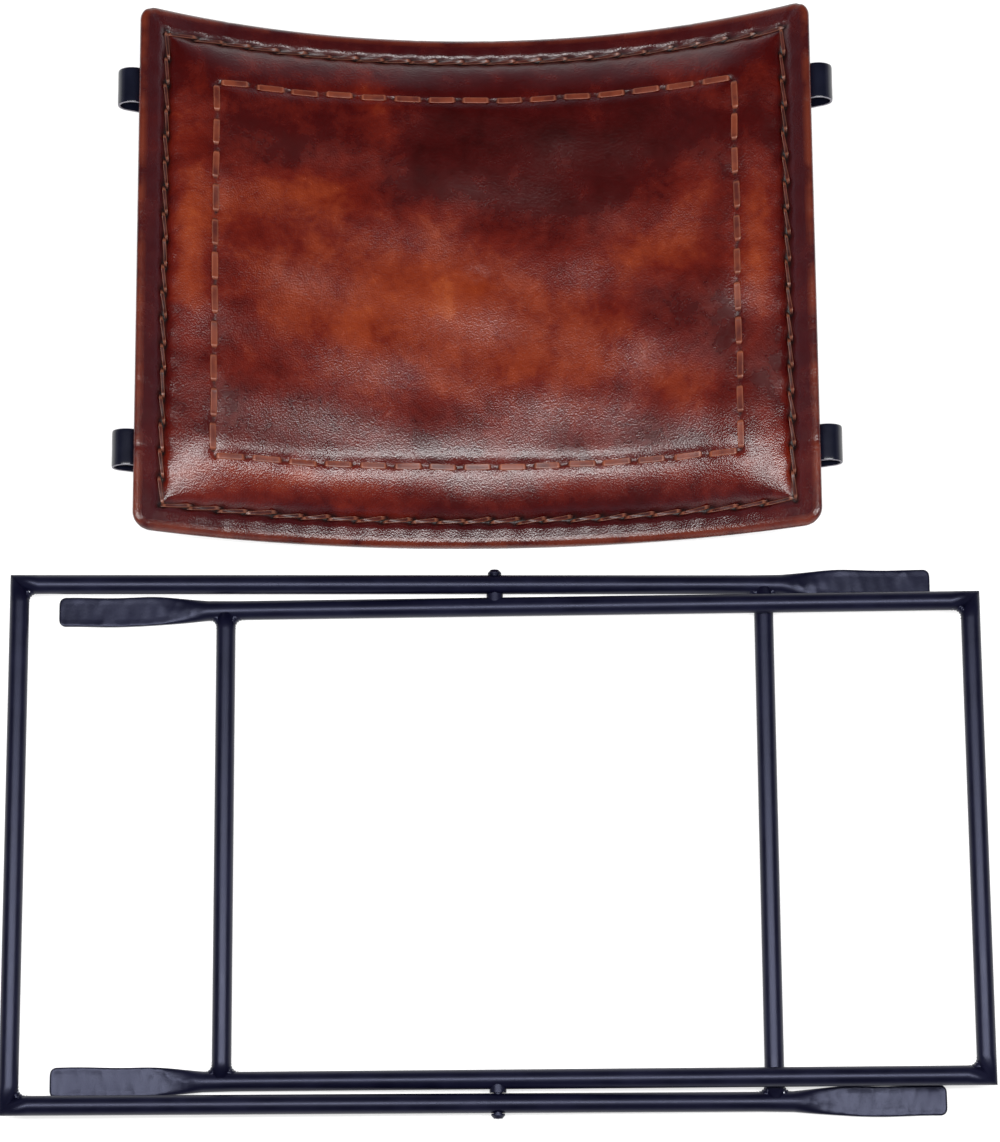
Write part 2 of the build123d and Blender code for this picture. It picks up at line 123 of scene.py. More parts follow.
BACKING_GAP = 0.5 * MM
BACKING_ROUND = 1.2 * MM       # the backing's edge is rounded off over this
BACKING_MIDDLE = 0.9 * MM      # its mid-thickness above the underside
BACKING_HALF = 0.8 * MM
FLOOR_CLEARANCE = 0.05 * MM    # the drooped rims lie flat, just off the floor
GRID_STEP = 2.7 * MM           # the cover's mesh, away from its lacing
LINE_FINER = 1.95 * MM         # less than that step at the outer lacing
LINE_NEAR = 6 * MM
CHANNEL_FINER = 1.5 * MM       # less than that step at the sewn channel
CHANNEL_NEAR = 5 * MM
LINE_X = HALF_WIDTH - BORDER_WIDTH
LINE_Y = HALF_DEPTH - BORDER_WIDTH

# Lacing
OUTER_PITCH = 18.4 * MM
OUTER_OVERLAP = 3.2 * MM
OUTER_SLANT = 1.25 * MM
OUTER_THONG_WIDTH = 2.2 * MM
INNER_PITCH = 23.5 * MM
INNER_GAP = 3.6 * MM
INNER_THONG_WIDTH = 4.2 * MM
HOLE_RADIUS = 1.5 * MM
HOLE_DEPTH = 2.2 * MM
INNER_HOLE_RADIUS = 0.85 * HOLE_RADIUS
INNER_HOLE_DEPTH = 0.6 * HOLE_DEPTH
HOLE_SHADE = 1.7 * MM          # painted shade, near-black, round a hole of the outer lacing
# Painted shade round a hole of the inner lacing, and along the valley under the outer lacing
INNER_HOLE_SHADE = 1.1 * MM
SEAM_SHADE = 1.9 * MM
BORDER_BLEND = 2 * MM          # each side of the lacing, where the border's colour starts
WEAR_FULL = 3 * MM             # in from the rim, where its wear starts to fade
WEAR_REACH = 7 * MM
PUCKER_RADIUS = 6.5 * MM
PUCKER_DEPTH = 1.3 * MM
INNER_PUCKER_RADIUS = 0.6 * PUCKER_RADIUS
INNER_PUCKER_DEPTH = 0.5 * PUCKER_DEPTH
SWELL_RADIUS = 0.36 * PUCKER_RADIUS      # between two stitches of the inner lacing
SWELL_HEIGHT = 0.9 * PUCKER_DEPTH
OUTER_THONG_THICKNESS = 1.3 * MM
INNER_THONG_THICKNESS = 1.0 * MM
OUTER_TIPS = 5 * MM            # length over which a thong's tip is rounded
INNER_TIPS = 3.2 * MM
STITCH_SHAKE = 0.35 * MM       # hand-punched holes stray this far

# Creases in the turned-over edge: their places along the sides and along the front and back
SIDE_CREASES = (-0.128, -0.083, 0.031, 0.108, 0.141)
END_CREASES = (-0.171, -0.042, 0.012, 0.149)
CREASE_DEPTH = 0.6 * MM
CREASE_FULL = 6 * MM           # in from the rim, where a crease starts to fade
CREASE_REACH = 11 * MM
SIDE_CREASE_WIDTH = 1.3 * MM
END_CREASE_WIDTH = 1.6 * MM

# Seam that runs out to each corner of the border in a bow
SEAM_BOW = 5 * MM
SEAM_DEPTH = 0.9 * MM
SEAM_WIDTH = 1.1 * MM
SEAM_START = 3 * MM            # out from the lacing, where the seam is at its full depth

# Stain: the leather's tone, and clouds in it, warm or dark, by middle, reach and strength
BASE_TONE = 0.30
CLOUDS = (
    (-0.050, -0.010, 0.135, 0.062, 0.40),
    (-0.160, 0.050, 0.030, 0.024, 0.30),
    (-0.112, 0.056, 0.026, 0.016, 0.20),
    (-0.040, -0.080, 0.090, 0.034, 0.14),
    (0.095, -0.055, 0.060, 0.030, 0.24),
    (0.116, 0.012, 0.040, 0.022, 0.26),
    (0.150, 0.045, 0.020, 0.030, 0.18),
    (0.150, -0.090, 0.030, 0.025, 0.22),
    (-0.193, 0.020, 0.013, 0.085, 0.38),
    (0.190, 0.020, 0.013, 0.065, 0.44),
    (-0.120, -0.142, 0.090, 0.012, 0.30),
    (0.090, -0.142, 0.080, 0.012, 0.26),
    (0.060, 0.098, 0.150, 0.030, -0.12),
)
GRAIN = 880                    # pebbles of the leather's grain to the metre

# Strap loops under the seat's edge
LOOP_LENGTH = 50 * MM
LOOP_HEIGHT = 20 * MM
LOOP_WIDTH = 25 * MM
LOOP_THICKNESS = 2 * MM
LOOP_TILT = math.radians(30)

# Floor of the studio, a little under the stool
FLOOR_DROP = 0.2 * MM
FLOOR_HALF_SIZE = 6.0


# Colours and light come through nodes; a Signal is one number in a material, with the usual signs.
class Signal:
    def __init__(self, finish, socket):
        self.finish = finish
        self.socket = socket

    def maths(self, operation, first, second):
        node = self.finish.node("ShaderNodeMath", {"operation": operation}, {0: first, 1: second})
        return Signal(self.finish, node.outputs[0])

    def __add__(self, other):
        return self.maths("ADD", self, other)

    __radd__ = __add__

    def __mul__(self, other):
        return self.maths("MULTIPLY", self, other)

    __rmul__ = __mul__

    def __sub__(self, other):
        return self.maths("SUBTRACT", self, other)

    def __rsub__(self, other):
        return self.maths("SUBTRACT", other, self)

    def within(self, low, high):
        """0 below low, 1 above high, an S between."""
        settings = {"interpolation_type": "SMOOTHSTEP"}
        node = self.finish.node("ShaderNodeMapRange", settings, {0: self, 1: low, 2: high})
        return Signal(self.finish, node.outputs[0])


class Finish:
    """One material: its nodes are added by node(), and its surface is a Principled shader."""

    def __init__(self, name, **shader):
        self.material = bpy.data.materials.new(name)
        self.material.use_nodes = True
        self.tree = self.material.node_tree
        self.shader = self.tree.nodes["Principled BSDF"]
        self.feed(self.shader, shader)

    def feed(self, node, values):
        for key, value in values.items():
            socket = node.inputs[key]
            if isinstance(value, Signal):
                value = value.socket
            if isinstance(value, bpy.types.NodeSocket):
                self.tree.links.new(value, socket)
            else:
                socket.default_value = value

    def node(self, kind, settings, values):
        """A node of that type, with its settings made first and then its sockets fed."""
        node = self.tree.nodes.new(kind)
        for key, value in settings.items():
            if key == "stops":
                ramp = node.color_ramp
                while len(ramp.elements) < len(value):
                    ramp.elements.new(0.5)
                for element, (place, colour) in zip(ramp.elements, value):
                    element.position = place
                    element.color = (*colour, 1)
            else:
                setattr(node, key, value)
        self.feed(node, values)
        return node

    def place(self):
        """Object coordinates, in metres from the model's origin."""
        return self.node("ShaderNodeTexCoord", {}, {}).outputs["Object"]

    def stretched(self, scale):
        """Object coordinates, each axis times its own scale."""
        mapping = self.node("ShaderNodeMapping", {}, {"Vector": self.place(), "Scale": scale})
        return mapping.outputs[0]

    def noise(self, scale, detail=3.0, roughness=0.5, distortion=0.0, vector=None):
        node = self.node("ShaderNodeTexNoise", {}, {
            "Vector": vector or self.place(),
            "Scale": scale,
            "Detail": detail,
            "Roughness": roughness,
            "Distortion": distortion,
        })
        return Signal(self, node.outputs[0])

    def cells(self, scale, vector=None):
        """Distance to the nearest of many scattered points."""
        values = {"Vector": vector or self.place(), "Scale": scale}
        return Signal(self, self.node("ShaderNodeTexVoronoi", {}, values).outputs["Distance"])

    def attribute(self, name):
        node = self.node("ShaderNodeAttribute", {"attribute_name": name}, {})
        return Signal(self, node.outputs["Fac"])

    def ramp(self, value, stops):
        node = self.node("ShaderNodeValToRGB", {"stops": stops}, {0: value})
        return node.outputs[0]

    def mix(self, share, first, second):
        """One colour over another, by share."""
        first, second = [(*c, 1) if isinstance(c, tuple) else c for c in (first, second)]
        node = self.node("ShaderNodeMix", {"data_type": "RGBA"}, {0: share, 6: first, 7: second})
        return node.outputs[2]

    def relief(self, height, depth, strength, under=None):
        """Bump of a height from 0 to 1, depth in metres; under is the bump that it lies on."""
        values = {"Height": height, "Distance": depth, "Strength": strength}
        if under is not None:
            values["Normal"] = under
        return self.node("ShaderNodeBump", {}, values).outputs[0]

    def surface(self, **values):
        self.feed(self.shader, {key.replace("_", " "): value for key, value in values.items()})
        return self.material


class Sky(Finish):
    """The world, made of the same nodes: they feed its Background."""

    def __init__(self, name):
        world = bpy.data.worlds.new(name)
        world.use_nodes = True
        bpy.context.scene.world = world
        self.material = world
        self.tree = world.node_tree
        self.shader = self.tree.nodes["Background"]


def glazed_leather():
    """Brown leather, burnished and glazed: dark red with orange clouds, and painted shade near-black in the
    stitch holes and along the valley of the outer lacing.
    """
    finish = Finish("glazed_leather", IOR=1.5)
    tone = finish.attribute("tone")
    cloud = finish.noise(9, detail=5, roughness=0.62, distortion=0.6)
    mottle = finish.noise(46, detail=5, roughness=0.65, distortion=0.3)
    speck = finish.noise(190, detail=3, roughness=0.6)
    warmth = tone + (cloud - 0.5) * 0.85 + (mottle - 0.5) * 0.6 + (speck - 0.5) * 0.16
    colour = finish.ramp(warmth, [
        (0.0, (0.016, 0.0002, 0.0002)),
        (0.3, (0.036, 0.0005, 0.0003)),
        (0.5, (0.078, 0.0038, 0.0007)),
        (0.74, (0.15, 0.018, 0.0028)),
        (1.0, (0.25, 0.047, 0.0065)),
    ])
    border = finish.attribute("border")
    colour = finish.mix(border * 0.6, colour, (0.026, 0.0018, 0.003))
    rim = finish.attribute("rim")
    worn = rim * finish.noise(34, detail=4, roughness=0.6).within(0.32, 0.62)
    colour = finish.mix(worn * 0.5, colour, (0.15, 0.026, 0.009))
    # Painted shade: near-black round the stitch holes and along the valley under the outer lacing
    dark = finish.attribute("dark")
    colour = finish.mix(dark, colour, (0.006, 0.0008, 0.0008))
    grain = finish.cells(GRAIN, vector=finish.stretched((1, 1, 0.6)))
    fine = finish.noise(2.6 * GRAIN, detail=2, roughness=0.5)
    pebble = finish.relief(grain * 0.85 + fine * 0.3, depth=0.22 * MM, strength=0.8)
    waves = finish.noise(120, detail=3, roughness=0.55)
    bumped = finish.relief(waves, depth=0.3 * MM, strength=0.15, under=pebble)
    gloss = 0.2 + mottle * 0.12 + dark * 0.3
    return finish.surface(Base_Color=colour, Roughness=gloss, Normal=bumped)


def thong_leather(name, low, high, edge_highlight):
    """Flat thong cut from the same hide: painted highlight along the cut edges and knuckles of its top,
    painted shade where it dives in.
    """
    finish = Finish(name)
    stain = finish.noise(75, detail=4, roughness=0.6)
    colour = finish.mix(stain.within(0.3, 0.7), low, high)
    # Painted highlight along the top's cut edges and knuckles; painted shade where the thong dives into its
    # hole
    colour = finish.mix(finish.attribute("edge") * edge_highlight, colour, (0.42, 0.15, 0.075))
    colour = finish.mix(finish.attribute("end"), colour, (0.008, 0.001, 0.001))
    fibre = finish.noise(900, detail=3, roughness=0.6)
    return finish.surface(
        Base_Color=colour,
        Roughness=0.34 + stain * 0.14,
        Normal=finish.relief(fibre, depth=0.12 * MM, strength=0.4),
    )


def backing_leather():
    """Plain brown leather, flesh side out: matt, with a fine nap."""
    finish = Finish("backing_leather")
    stain = finish.noise(24, detail=5, roughness=0.6)
    nap = finish.noise(1400, detail=3, roughness=0.7)
    colour = finish.mix(stain, (0.075, 0.026, 0.013), (0.15, 0.06, 0.032))
    return finish.surface(
        Base_Color=colour,
        Roughness=0.66 + nap * 0.16,
        Normal=finish.relief(nap, depth=0.2 * MM, strength=0.5),
    )


def strap_leather():
    """Blue-black glazed strap with a pale, waxed cut edge."""
    finish = Finish("strap_leather")
    stain = finish.noise(60, detail=3, roughness=0.5)
    edge = finish.attribute("edge")
    colour = finish.mix(stain, (0.0022, 0.0024, 0.0055), (0.006, 0.007, 0.017))
    colour = finish.mix(edge, colour, (0.2, 0.19, 0.22))
    creases = finish.noise(500, detail=3, roughness=0.5)
    return finish.surface(
        Base_Color=colour,
        Roughness=0.17 + stain * 0.1 + edge * 0.35,
        Normal=finish.relief(creases, depth=0.08 * MM, strength=0.3),
    )


def lacquered_iron(name="lacquered_iron", rough=0.36, chips=0.0):
    """Blackened iron under a blue-black satin lacquer, with chips down to bare metal at the welds."""
    finish = Finish(name)
    tone = finish.noise(38, detail=4, roughness=0.6)
    peel = finish.noise(420, detail=3, roughness=0.55)
    scale = finish.noise(1300, detail=2, roughness=0.5)
    colour = finish.mix(tone.within(0.3, 0.75), (0.0012, 0.0012, 0.0065), (0.0032, 0.0032, 0.012))
    metal = 0.0
    if chips:
        flake = finish.noise(520, detail=4, roughness=0.7).within(0.6, 0.66)
        patch = finish.noise(95, detail=2, roughness=0.5).within(0.6 - chips, 0.68 - chips)
        metal = flake * patch
        colour = finish.mix(metal, colour, (0.34, 0.35, 0.38))
    relief = finish.relief(peel * 0.7 + scale * 0.3, depth=0.16 * MM, strength=0.4)
    return finish.surface(
        Base_Color=colour,
        Metallic=metal,
        Roughness=rough - 0.06 + tone * 0.14,
        Normal=relief,
        Specular_IOR_Level=0.3,
        Specular_Tint=(0.66, 0.7, 1.0, 1.0),
    )


def board_wood():
    """Moulded board inside the seat."""
    finish = Finish("moulded_board")
    ply = finish.noise(30, detail=4, roughness=0.6, vector=finish.stretched((1, 8, 8)))
    colour = finish.mix(ply, (0.24, 0.14, 0.07), (0.38, 0.25, 0.14))
    return finish.surface(Base_Color=colour, Roughness=0.62 + ply * 0.15)


def rivet_metal():
    """Tubular rivet, blackened and rubbed bright at its edge."""
    finish = Finish("rivet_metal", Metallic=1.0)
    rub = finish.noise(420, detail=4, roughness=0.6)
    colour = finish.mix(rub.within(0.35, 0.7), (0.05, 0.048, 0.046), (0.34, 0.32, 0.3))
    return finish.surface(Base_Color=colour, Roughness=0.3 + rub * 0.2)


def quads_of(rows, columns, wrap):
    """Four corners of each face of a grid of rows and columns; wrap joins the last column to the first."""
    row = np.arange(rows - 1)[:, None]
    column = np.arange(columns if wrap else columns - 1)[None, :]
    beside = (column + 1) % columns
    corners = [row * columns + column, row * columns + beside, (row + 1) * columns + beside]
    corners.append((row + 1) * columns + column)
    return np.stack(corners, -1).reshape(-1, 4)


def make_piece(name, points, faces, finish, body, replaced, values=None):
    """Closed mesh from points and faces, with numbers on its points by name, riding on its body."""
    mesh = bpy.data.meshes.new(name)
    mesh.from_pydata(points.reshape(-1, 3).tolist(), [], faces.tolist())
    for key, numbers in (values or {}).items():
        layer = mesh.attributes.new(key, "FLOAT", "POINT")
        layer.data.foreach_set("value", np.ascontiguousarray(numbers, np.float32).ravel())
    shell = bmesh.new()
    shell.from_mesh(mesh)
    bmesh.ops.remove_doubles(shell, verts=shell.verts, dist=MERGE_DISTANCE)
    bmesh.ops.recalc_face_normals(shell, faces=shell.faces)
    shell.to_mesh(mesh)
    shell.free()
    mesh.polygons.foreach_set("use_smooth", np.ones(len(mesh.polygons), bool))
    mesh.materials.append(finish)
    mesh.update()
    piece = bpy.data.objects.new(name, mesh)
    bpy.context.scene.collection.objects.link(piece)
    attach(piece, body)
    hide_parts(*replaced)
    return piece


def closed_tube(rings):
    """Points and faces of a tube: closed rings, by ring, place round it and XYZ, and a pole at each end."""
    first = np.broadcast_to(rings[:1].mean(axis=1, keepdims=True), rings[:1].shape)
    last = np.broadcast_to(rings[-1:].mean(axis=1, keepdims=True), rings[-1:].shape)
    points = np.concatenate([first, rings, last])
    return points, quads_of(points.shape[0], points.shape[1], True)


def boxed(wave, power):
    """A sine or cosine, its sign kept and its size raised to a power: under 1, a circle nears a square."""
    return np.sign(wave) * np.abs(wave) ** power


def bell(distance, width):
    """1 at distance 0, fading to nothing over about twice the width."""
    return np.exp(-(distance / width) ** 2)


def step(value, low, high):
    """0 below low, 1 above high, an S between."""
    share = np.clip((value - low) / (high - low), 0, 1)
    return share * share * (3 - 2 * share)


def bells_at(x, y, places, width):
    """The strongest of the bells that stand at the places."""
    strongest = np.zeros_like(x)
    for place_x, place_y in places:
        near = np.exp(-((x - place_x) ** 2 + (y - place_y) ** 2) / width ** 2)
        strongest = np.maximum(strongest, near)
    return strongest


def stitch_ends(line_x, line_y, pitch, extra, slant, seed):
    """Ends of a rectangle's stitches: a whole number to a side, extra longer than their pitch, slanted."""
    wobble = np.random.default_rng(seed)
    starts, ends = [], []
    for along, across, flip in ((line_x, line_y, False), (line_y, line_x, True)):
        count = round(2 * along / pitch)
        middles = (np.arange(count) + 0.5) * 2 * along / count - along
        half = along / count + extra / 2
        for side in (-1, 1):
            jitter = wobble.normal(0, STITCH_SHAKE, (4, count))
            low = np.stack([middles - half + jitter[0], side * across - slant + jitter[1]], -1)
            high = np.stack([middles + half + jitter[2], side * across + slant + jitter[3]], -1)
            if flip:
                low = np.stack([side * across + slant + jitter[1], middles - half + jitter[0]], -1)
                high = np.stack([side * across - slant + jitter[3], middles + half + jitter[2]], -1)
            starts.append(low)
            ends.append(high)
    return np.concatenate(starts), np.concatenate(ends)


outer_starts, outer_ends = stitch_ends(LINE_X, LINE_Y, OUTER_PITCH, OUTER_OVERLAP, OUTER_SLANT, 3)
inner_starts, inner_ends = stitch_ends(
    LINE_X - PANEL_INSET, LINE_Y - PANEL_INSET, INNER_PITCH, -INNER_GAP, 0.0, 5)


def edge_distance(x, y):
    """Distance inside the seat's outline, a rectangle with rounded corners."""
    over_x = np.abs(x) - (HALF_WIDTH - CORNER_RADIUS)
    over_y = np.abs(y) - (HALF_DEPTH - CORNER_RADIUS)
    outside = np.hypot(np.maximum(over_x, 0), np.maximum(over_y, 0))
    return CORNER_RADIUS - outside - np.minimum(np.maximum(over_x, over_y), 0)


def inside_lines(x, y):
    """Distances inside the outer lacing, across X and across Y."""
    return LINE_X - np.abs(x), LINE_Y - np.abs(y)


def underside(x, y):
    """An arc across the width, less the border's droop, which starts in a soft bend."""
    arc = SAG_RADIUS - np.sqrt(SAG_RADIUS ** 2 - x ** 2)
    across, along = inside_lines(x, y)
    beyond = BORDER_BEND * np.logaddexp(0, -np.minimum(across, along) / BORDER_BEND)
    return SEAT_BASE + arc - BORDER_DROOP * beyond / BORDER_WIDTH


def rise(inside, width=PAD_RISE):
    """Pillow's rise from a line of lacing: half the arch of a parabola, level where width ends."""
    share = np.clip(inside / width, 0, 1)
    return 1 - (1 - share) ** 2


def roll(x, y):
    """Share of the edge's thickness: a quarter circle from the rim inwards."""
    share = np.clip(edge_distance(x, y) / (EDGE_THICKNESS / 2), 0, 1)
    return np.sqrt(1 - (1 - share) ** 2)


def stuffing(x, y):
    """Slow unevenness of hand-packed felt: four slanted waves that fade towards the lacing."""
    waves = np.sin(61 * x + 23 * y + 1.1) + np.sin(-37 * x + 71 * y + 2.3)
    waves = waves + 0.6 * np.sin(118 * x - 40 * y + 0.4) + 0.6 * np.sin(29 * x + 131 * y + 4.2)
    across, along = inside_lines(x, y)
    return STUFFING_HEIGHT * waves * step(np.minimum(across, along), 0, STUFFING_FADE)


def draped(x, y):
    """Top of the leather without its holes: edge, pillow, panel, seam valley, sewn channel and fold."""
    across, along = inside_lines(x, y)
    line = np.minimum(across, along)
    top = underside(x, y) + EDGE_THICKNESS / 2 * (1 + roll(x, y))
    top = top + PAD_CROWN * rise(across) * rise(along) + stuffing(x, y)
    swell = rise(across - PANEL_INSET, PANEL_RISE) * rise(along - PANEL_INSET, PANEL_RISE)
    top = top + PANEL_CROWN * swell
    top = top - VALLEY_DEPTH * bell(line, VALLEY_WIDTH)
    off_line = line - PANEL_INSET
    inner_side = step(off_line, -CHANNEL_TURN, CHANNEL_TURN)
    depth_share = CHANNEL_OUTER_SHARE + (1 - CHANNEL_OUTER_SHARE) * inner_side
    top = top - CHANNEL_DEPTH * (bell(off_line, CHANNEL_WIDTH) * depth_share)
    fold = step(edge_distance(x, y), FOLD_WIDTH + FOLD_SLOPE, FOLD_WIDTH)
    return top + FOLD_STEP * fold * roll(x, y)


def cover_top(x, y):
    """The leather with puckers at the stitch ends, their holes, corner seams and the rim's creases."""
    outer_holes = np.concatenate([outer_starts, outer_ends])
    inner_holes = np.concatenate([inner_starts, inner_ends])
    top = draped(x, y)
    # Middles of the gaps between stitches; the jump from one side to the next falls in the seat's middle
    outer_gaps = (outer_starts[1:] + outer_ends[:-1]) / 2
    inner_gaps = (inner_starts[1:] + inner_ends[:-1]) / 2
    top = top - PUCKER_DEPTH * bells_at(x, y, outer_gaps, PUCKER_RADIUS)
    top = top - INNER_PUCKER_DEPTH * bells_at(x, y, inner_holes, INNER_PUCKER_RADIUS)
    top = top + SWELL_HEIGHT * bells_at(x, y, inner_gaps, SWELL_RADIUS)
    top = top - HOLE_DEPTH * bells_at(x, y, outer_holes, HOLE_RADIUS)
    top = top - INNER_HOLE_DEPTH * bells_at(x, y, inner_holes, INNER_HOLE_RADIUS)
    across, along = inside_lines(x, y)
    on_border = step(-np.minimum(across, along), 0, SEAM_START)
    seam = across - along - SEAM_BOW * np.sin(np.clip(-across / BORDER_WIDTH, 0, 1) * math.pi)
    top = top - SEAM_DEPTH * on_border * bell(seam, SEAM_WIDTH)
    on_fold = step(edge_distance(x, y), CREASE_REACH, CREASE_FULL)
    for place in SIDE_CREASES:
        top = top - CREASE_DEPTH * on_fold * bell(y - place, SIDE_CREASE_WIDTH) * (along > 0)
    for place in END_CREASES:
        top = top - CREASE_DEPTH * on_fold * bell(x - place, END_CREASE_WIDTH) * (across > 0)
    return top


def grid_line(half, line):
    """Places across one direction: close together at the rim, the lacing and the channel."""
    inner = line - PANEL_INSET
    fine = np.linspace(0, half - EDGE_THICKNESS / 2, 6000)
    near_line = LINE_FINER * bell(fine - line, LINE_NEAR)
    near_channel = CHANNEL_FINER * bell(fine - inner, CHANNEL_NEAR)
    spacing = GRID_STEP - near_line - near_channel
    count = np.concatenate([[0], np.cumsum(np.diff(fine) / spacing[1:])])
    steps = np.linspace(0, count[-1], int(count[-1]) + 1)
    places = np.interp(steps, count, fine)
    turn = np.linspace(0, math.pi / 2, 9)[1:]
    rim = half - EDGE_THICKNESS / 2 * (1 - np.sin(turn))
    places = np.concatenate([places, rim])
    return np.concatenate([-places[:0:-1], places])


def rounded_plan(x, y):
    """Squeezes each square corner of a plan grid into a quarter disc."""
    over_x = np.clip((np.abs(x) - (HALF_WIDTH - CORNER_RADIUS)) / CORNER_RADIUS, 0, 1)
    over_y = np.clip((np.abs(y) - (HALF_DEPTH - CORNER_RADIUS)) / CORNER_RADIUS, 0, 1)
    corner = (over_x > 0) & (over_y > 0)
    new_x = HALF_WIDTH - CORNER_RADIUS + CORNER_RADIUS * over_x * np.sqrt(1 - over_y ** 2 / 2)
    new_y = HALF_DEPTH - CORNER_RADIUS + CORNER_RADIUS * over_y * np.sqrt(1 - over_x ** 2 / 2)
    return np.where(corner, np.sign(x) * new_x, x), np.where(corner, np.sign(y) * new_y, y)


def in_seat(x, y, z):
    """Seat coordinates to the model's."""
    return np.stack([x + SEAT_X, y + SEAT_Y, z], -1)


def seat_cover():
    """Cover: the modelled top, rolled over the rim and turned under, with a recess for the backing."""
    x, y = np.meshgrid(grid_line(HALF_WIDTH, LINE_X), grid_line(HALF_DEPTH, LINE_Y), indexing="ij")
    x, y = rounded_plan(x, y)
    top = in_seat(x, y, cover_top(x, y))
    recess = BACKING_RECESS * step(edge_distance(x, y), BACKING_INSET - RECESS_ROUND, BACKING_INSET)
    low = underside(x, y) + EDGE_THICKNESS / 2 * (1 - roll(x, y)) + recess
    low = np.maximum(low, FLOOR_CLEARANCE)
    points = np.concatenate([top.reshape(-1, 3), in_seat(x, y, low).reshape(-1, 3)])
    faces = quads_of(*x.shape, False)
    faces = np.concatenate([faces, faces[:, ::-1] + x.size])
    across, along = inside_lines(x, y)
    line = np.minimum(across, along)
    tone = np.full_like(x, BASE_TONE)
    for middle_x, middle_y, reach_x, reach_y, strength in CLOUDS:
        tone += strength * np.exp(-((x - middle_x) / reach_x) ** 2 - ((y - middle_y) / reach_y) ** 2)
    border = step(-line, -BORDER_BLEND, BORDER_BLEND)
    rim = step(edge_distance(x, y), WEAR_REACH, WEAR_FULL)
    holes = np.concatenate([outer_starts, outer_ends])
    inner_holes = np.concatenate([inner_starts, inner_ends])
    # dark is painted shade: round the stitch holes and along the valley under the outer lacing
    dark = 0.95 * bells_at(x, y, holes, HOLE_SHADE) + 0.75 * bell(line, SEAM_SHADE)
    dark = dark + 0.75 * bells_at(x, y, inner_holes, INNER_HOLE_SHADE)
    values = {
        "tone": tone,
        "border": border,
        "rim": rim,
        "dark": np.clip(dark, 0, 1),
    }
    values = {key: np.concatenate([numbers.ravel(), numbers.ravel()]) for key, numbers in values.items()}
    rims = [f"rim_{side}" for side in ("left", "right", "front", "back")]
    piece = make_piece("laced_seat_cover", points, faces, glazed_leather(), "seat",
                       ["seat_cover", "seat_padding", *rims], values)


def seat_backing():
    """Backing: a leather sheet let into the turned-under cover."""
    half_x = HALF_WIDTH - BACKING_INSET - BACKING_GAP
    half_y = HALF_DEPTH - BACKING_INSET - BACKING_GAP
    x, y = np.meshgrid(np.linspace(-half_x, half_x, 110), np.linspace(-half_y, half_y, 90), indexing="ij")
    rim = step(np.minimum(half_x - np.abs(x), half_y - np.abs(y)), 0, BACKING_ROUND)
    middle = underside(x, y) + BACKING_MIDDLE
    points = np.stack([in_seat(x, y, middle + side * BACKING_HALF * rim) for side in (1, -1)])
    faces = quads_of(*x.shape, False)
    faces = np.concatenate([faces, faces[:, ::-1] + x.size])
    make_piece("backing_sheet", points, faces, backing_leather(), "seat",
               ["seat_backing"])


def lacing(name, starts, ends, width, height, tips, finish, node):
    """Thongs from hole to hole: a boxed section on a straight run, draped on the leather.

    Over the length of its tips a thong narrows, swells a little and dives into its hole.
    """
    t = (0.5 - np.cos(np.linspace(0, math.pi, 21)) / 2)[None, :, None]
    turn = np.linspace(0, 2 * math.pi, 14, endpoint=False)[None, None, :]
    side = boxed(np.cos(turn), 0.5)
    up = boxed(np.sin(turn), 0.7)
    run = (ends - starts)[:, None, None, :]
    length = np.linalg.norm(run, axis=-1)
    across = np.stack([-run[..., 1], run[..., 0]], -1) / length[..., None]
    past = np.clip(1 - np.minimum(t, 1 - t) * length / tips, 0, 1)
    narrow = np.sqrt(1 - 0.9 * past ** 2)
    offset = side * width / 2 * narrow
    x = starts[:, None, None, 0] + run[..., 0] * t + across[..., 0] * offset
    y = starts[:, None, None, 1] + run[..., 1] * t + across[..., 1] * offset
    lift = height * (0.12 + 0.45 * bell(past - 0.3, 0.2) - 1.3 * past ** 3)
    z = draped(x, y) + lift + up * height / 2
    rings = in_seat(x, y, z)
    poles = rings[:, [0, -1]].mean(2, keepdims=True) + 0 * rings[:, [0, -1]]
    rings = np.concatenate([poles[:, :1], rings, poles[:, 1:]], 1)
    count, rows, columns = rings.shape[:3]
    faces = quads_of(rows, columns, True)[None] + (np.arange(count) * rows * columns)[:, None, None]
    past = np.concatenate([past[:, :1], past, past[:, -1:]], 1)
    # edge is a painted highlight on the top's cut edges and at the knuckle by each tip; end is painted
    # shade where the thong dives into its hole
    knuckle = bell(past - 0.45, 0.16)
    edge = np.maximum(bell(np.abs(side) - 0.9, 0.12), knuckle) * (up > 0)
    end = np.broadcast_to(past ** 6, (count, rows, columns))
    values = {"edge": edge, "end": end}
    make_piece(name, rings, faces.reshape(-1, 4), finish, "seat", [node], values)


